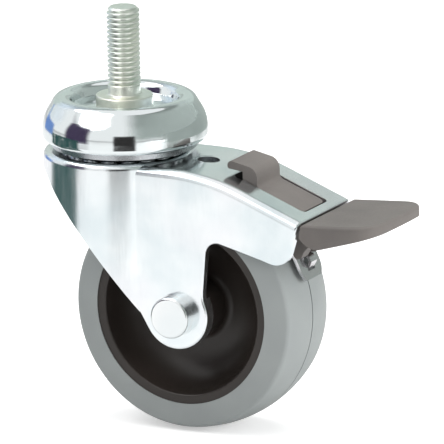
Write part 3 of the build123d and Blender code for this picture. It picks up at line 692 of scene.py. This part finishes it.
def card_paint(name, colour, softness, mottle):
    """Card paint that fades out at the edges.

    Softness is the share of the card that fades, and mottle is how far the
    paint thins in its blots.
    """
    material, tree = new_material(name)
    place = add_node(tree, "ShaderNodeUVMap", {"uv_map": "card"}, {})
    split = add_node(tree, "ShaderNodeSeparateXYZ", {}, {0: place})
    side = add_node(tree, "ShaderNodeMath", {"operation": "PINGPONG"}, {
        0: split.outputs["X"],
        1: 0.5,
    })
    ends = add_node(tree, "ShaderNodeMath", {"operation": "PINGPONG"}, {
        0: split.outputs["Y"],
        1: 0.5,
    })
    inside = add_node(tree, "ShaderNodeMapRange", {"interpolation_type": "SMOOTHSTEP"}, {
        "Value": side,
        "From Max": softness,
    })
    within = add_node(tree, "ShaderNodeMapRange", {"interpolation_type": "SMOOTHSTEP"}, {
        "Value": ends,
        "From Max": softness,
    })
    whole = add_node(tree, "ShaderNodeMath", {"operation": "MULTIPLY"}, {0: inside, 1: within})
    blots = add_node(tree, "ShaderNodeTexNoise", {}, {
        "Vector": place,
        "Scale": CARD_BLOTS,
        "Detail": 3.0,
    })
    paint = add_node(tree, "ShaderNodeMapRange", {"interpolation_type": "SMOOTHSTEP"}, {
        "Value": blots,
        "From Min": CARD_BLOT_EDGES[0],
        "From Max": CARD_BLOT_EDGES[1],
        "To Min": 1 - mottle,
    })
    cover = add_node(tree, "ShaderNodeMath", {"operation": "MULTIPLY"}, {0: whole, 1: paint})
    shader = add_node(tree, "ShaderNodeBsdfPrincipled", {}, {
        "Base Color": linear(colour),
        "Roughness": 1.0,
        "Alpha": cover,
    })
    add_node(tree, "ShaderNodeOutputMaterial", {}, {"Surface": shader})
    return material


def make_card(name, azimuths, lower, upper, colour, softness, mottle=0.0):
    """Curved card round the castor that only reflections see.

    Azimuths run from -Y towards +X. The lower and upper edges are each
    given as (distance from the swivel axis, height over the floor) in mm.
    """
    made = bmesh.new()
    layer = made.loops.layers.uv.new("card")
    base = Vector((0, 0, FLOOR_Z))
    up = Vector((0, 0, MM))
    rows = []
    for n in range(CARD_STEPS + 1):
        share = n / CARD_STEPS
        turn = math.radians(azimuths[0] + (azimuths[1] - azimuths[0]) * share)
        out = Vector((math.sin(turn), -math.cos(turn), 0)) * MM
        pair = [
            made.verts.new(base + out * distance + up * height)
            for distance, height in (lower, upper)
        ]
        rows.append((share, pair))
    for (share, pair), (next_share, next_pair) in zip(rows, rows[1:]):
        face = made.faces.new((pair[0], next_pair[0], next_pair[1], pair[1]))
        places = ((share, 0), (next_share, 0), (next_share, 1), (share, 1))
        for loop, place in zip(face.loops, places):
            loop[layer].uv = place
    card = add_piece(name, made, card_paint(name, colour, softness, mottle))
    card.visible_camera = False
    card.visible_diffuse = False
    card.visible_shadow = False


def make_camera():
    """Long-lens camera that sees the aim point at its pixel."""
    azimuth = math.radians(CAMERA_AZIMUTH)
    elevation = math.radians(CAMERA_ELEVATION)
    roll = math.radians(CAMERA_ROLL)
    forward = Vector((
        -math.sin(azimuth) * math.cos(elevation),
        math.cos(azimuth) * math.cos(elevation),
        -math.sin(elevation),
    ))
    level = Vector((math.cos(azimuth), math.sin(azimuth), 0))
    upright = level.cross(forward)
    right = level * math.cos(roll) + upright * math.sin(roll)
    up = upright * math.cos(roll) - level * math.sin(roll)
    focal_pixels = PIXELS_PER_MM * CAMERA_DISTANCE / MM
    aside = (AIM_PIXEL[0] - IMAGE_SIZE / 2) / focal_pixels
    above = (IMAGE_SIZE / 2 - AIM_PIXEL[1]) / focal_pixels
    data = bpy.data.cameras.new("camera")
    data.sensor_width = SENSOR
    data.lens = focal_pixels * SENSOR / IMAGE_SIZE
    data.clip_end = CLIP_DISTANCES * CAMERA_DISTANCE
    camera = bpy.data.objects.new("camera", data)
    turn = Matrix((right, up, -forward)).transposed()
    camera.rotation_mode = "QUATERNION"
    camera.rotation_quaternion = turn.to_quaternion()
    camera.location = AIM - CAMERA_DISTANCE * (forward + right * aside + up * above)
    bpy.context.scene.collection.objects.link(camera)
    bpy.context.scene.camera = camera


# ---------------------------------------------------------------- castor
finishes = {
    "zinc_stem": zinc_plate(
        "blue_zinc_plated_stem", "#F2F6EE", "#E2E7E0", "#ECEADC",
        roughness=0.3, spread=0.05,
    ),
    "chrome_cover": chrome_plate(),
    "race_steel": zinc_plate(
        "pressed_race_steel", "#C8CBCD", "#AEB2B5", "#B9BEC4",
        roughness=0.28, spread=0.05,
    ),
    "ball_steel": zinc_plate(
        "ground_ball_steel", "#D0D2D4", "#C4C6C8", "#CACCCE",
        roughness=0.12, spread=0.03,
    ),
    "zinc_fork": zinc_plate(
        "blue_white_zinc_plate", "#F2F6F7", "#DDE6E9", "#ECEAEE",
        roughness=0.19, spread=0.08, streak=12.0,
    ),
    "tyre_grey": moulded_plastic(
        "grey_soft_tyre_rubber", "#979C9B", "#8B9090",
        roughness=0.55, sheen=0.5, grit=0.5, depth=0.04,
    ),
    "hub_black": moulded_plastic(
        "brown_black_polypropylene", "#332D2A", "#28231F",
        roughness=0.38, sheen=0.4, grit=0.8, depth=0.03,
    ),
    "bush_nylon": moulded_plastic(
        "dark_nylon_bush", "#3A3836", "#2E2C2B",
        roughness=0.45, sheen=0.4, grit=0.6, depth=0.02,
    ),
    "axle_zinc": zinc_plate(
        "bright_zinc_fastener", "#F0F3F4", "#E4E9EA", "#ECEAE8",
        roughness=0.2, spread=0.05,
    ),
    "insert_nylon": moulded_plastic(
        "clear_nylon_ring", "#C9CDD2", "#B9BEC4",
        roughness=0.4, sheen=0.5, grit=0.6, depth=0.02,
    ),
    "spring_steel": zinc_plate(
        "zinc_plated_spring_steel", "#E4E4E6", "#CFCED0", "#DAD5D6",
        roughness=0.24, spread=0.05,
    ),
    "lever_grey": moulded_plastic(
        "warm_grey_moulded_nylon", "#75706C", "#5C5856",
        roughness=0.55, sheen=0.4, grit=0.7, depth=0.08,
    ),
}

for part in frame["record"]["subparts"]:
    node = frame["nodes"][part["node"]]
    node.data.materials.clear()
    node.data.materials.append(finishes[part["material_slot"]])

make_threaded_stem(finishes["zinc_stem"])
make_hub(finishes["hub_black"])

make_floor()
make_world()
make_lamp("key_softbox", (-0.4, -0.7, 0.85), size=0.9, power=3.6, in_mirrors=True)
make_lamp("left_softbox", (-0.55, -0.2, 0.8), size=0.5, power=1.6, in_mirrors=True)
make_lamp("side_softbox", (1.0, -0.05, 0.25), size=0.6, power=7.6, in_mirrors=False)
make_lamp("top_softbox", (0.1, 0.3, 0.9), size=0.8, power=5.2, in_mirrors=False)

# The small cards give the cover and the fork's crown their dark, blue and
# teal patches, and the walls keep zinc that faces away from the lamps grey.
make_card("purple_card", (-64, -20), (340, -10), (360, 330), "#3A3048", softness=0.18)
make_card("black_card", (10, 44), (320, -20), (360, 200), "#2C2A2A", softness=0.14)
make_card("blue_card", (-120, -86), (340, 20), (370, 150), "#6482B8", softness=0.2)
make_card("left_wall", (-200, -70), (700, 0), (900, 1500), "#C8D2DC", softness=0.3)
make_card("right_wall", (20, 250), (700, 0), (900, 1500), "#A2AAA6", softness=0.15)
make_card("low_right_card", (72, 225), (330, 0), (370, 170), "#9CA4A0", softness=0.12)
make_card("teal_card", (-92, -34), (90, 1), (230, 70), "#1E403E", softness=0.1, mottle=0.3)
make_card("rear_wall", (150, 260), (600, 60), (680, 480), "#B0BAB5", softness=0.25)
make_camera()
bpy.context.scene.view_settings.view_transform = "Standard"
